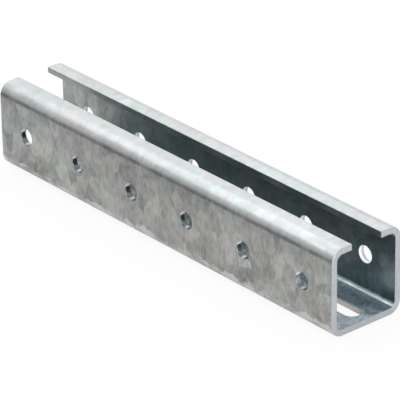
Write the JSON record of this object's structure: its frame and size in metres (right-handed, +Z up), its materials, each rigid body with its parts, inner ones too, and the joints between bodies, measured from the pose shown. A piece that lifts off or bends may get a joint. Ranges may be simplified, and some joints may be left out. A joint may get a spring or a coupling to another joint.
{
  "type": "c-channel",
  "caption": "Lipped steel C-channel stock, open side up, with round holes along both walls and long slots along the base.",
  "frame": {"origin": "middle of the base's underside, halfway along the stock", "axes": "+X along the stock, +Y across it to the far wall of the picture, +Z up from the base to the open side"},
  "size_m": [0.3, 0.052, 0.055],
  "materials": {
    "galvanised_steel": "hot-dip galvanised, satin, with a mottled grain"
  },
  "bodies": {
    "root": {"channel": "galvanised_steel"}
  },
  "joints": []
}
